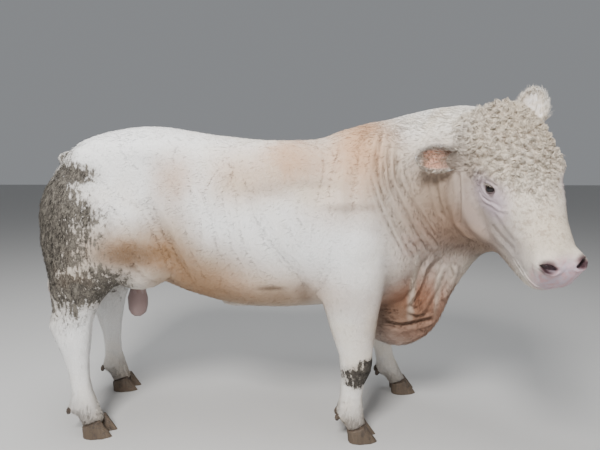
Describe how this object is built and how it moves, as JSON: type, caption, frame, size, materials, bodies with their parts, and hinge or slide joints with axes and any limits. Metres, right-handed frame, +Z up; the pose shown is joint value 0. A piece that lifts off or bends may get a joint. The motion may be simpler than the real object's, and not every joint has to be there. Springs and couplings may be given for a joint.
{
  "type": "charolais bull",
  "caption": "Life-size standing cream-white Charolais bull, still, with its head turned to its right, broad curly poll, deep dewlap and heavy hindquarters.",
  "frame": {"origin": "under the middle of the whole animal's box, on the ground that its hooves stand on", "axes": "+X from tail to chest along the back, the way the bull stands; +Y to its left side; +Z up"},
  "size_m": [2.1868, 1.172, 1.5556],
  "materials": {
    "coat": "short, close, cream-white hair, soiled brown on the flank and grey-brown on the rear of the thigh",
    "coat_head": "cream hair, curled on the poll and forehead, short on the face and ears, bare pink muzzle",
    "coat_legs": "short whitish hair, soiled at knees and hocks",
    "hair": "longer hair of the tail and its switch",
    "skin": "thin mauve-pink skin with sparse hair",
    "horn": "grey-brown hoof horn, dull, with growth rings",
    "eye": "wet, very dark brown eye"
  },
  "bodies": {
    "root": {"head": "coat_head", "neck": "coat", "torso": "coat", "foreleg_right": "coat_legs", "foreleg_left": "coat_legs", "hindleg_right": "coat_legs", "hindleg_left": "coat_legs", "ear_right": "coat_head", "ear_left": "coat_head", "eye_right": "eye", "eye_left": "eye", "tail": "hair", "scrotum": "skin", "claw_foreleg_right_right": "horn", "claw_foreleg_right_left": "horn", "claw_foreleg_left_right": "horn", "claw_foreleg_left_left": "horn", "claw_hindleg_right_right": "horn", "claw_hindleg_right_left": "horn", "claw_hindleg_left_right": "horn", "claw_hindleg_left_left": "horn", "dewclaw_foreleg_right_right": "horn", "dewclaw_foreleg_right_left": "horn", "dewclaw_foreleg_left_right": "horn", "dewclaw_foreleg_left_left": "horn", "dewclaw_hindleg_right_right": "horn", "dewclaw_hindleg_right_left": "horn", "dewclaw_hindleg_left_right": "horn", "dewclaw_hindleg_left_left": "horn"}
  },
  "joints": []
}
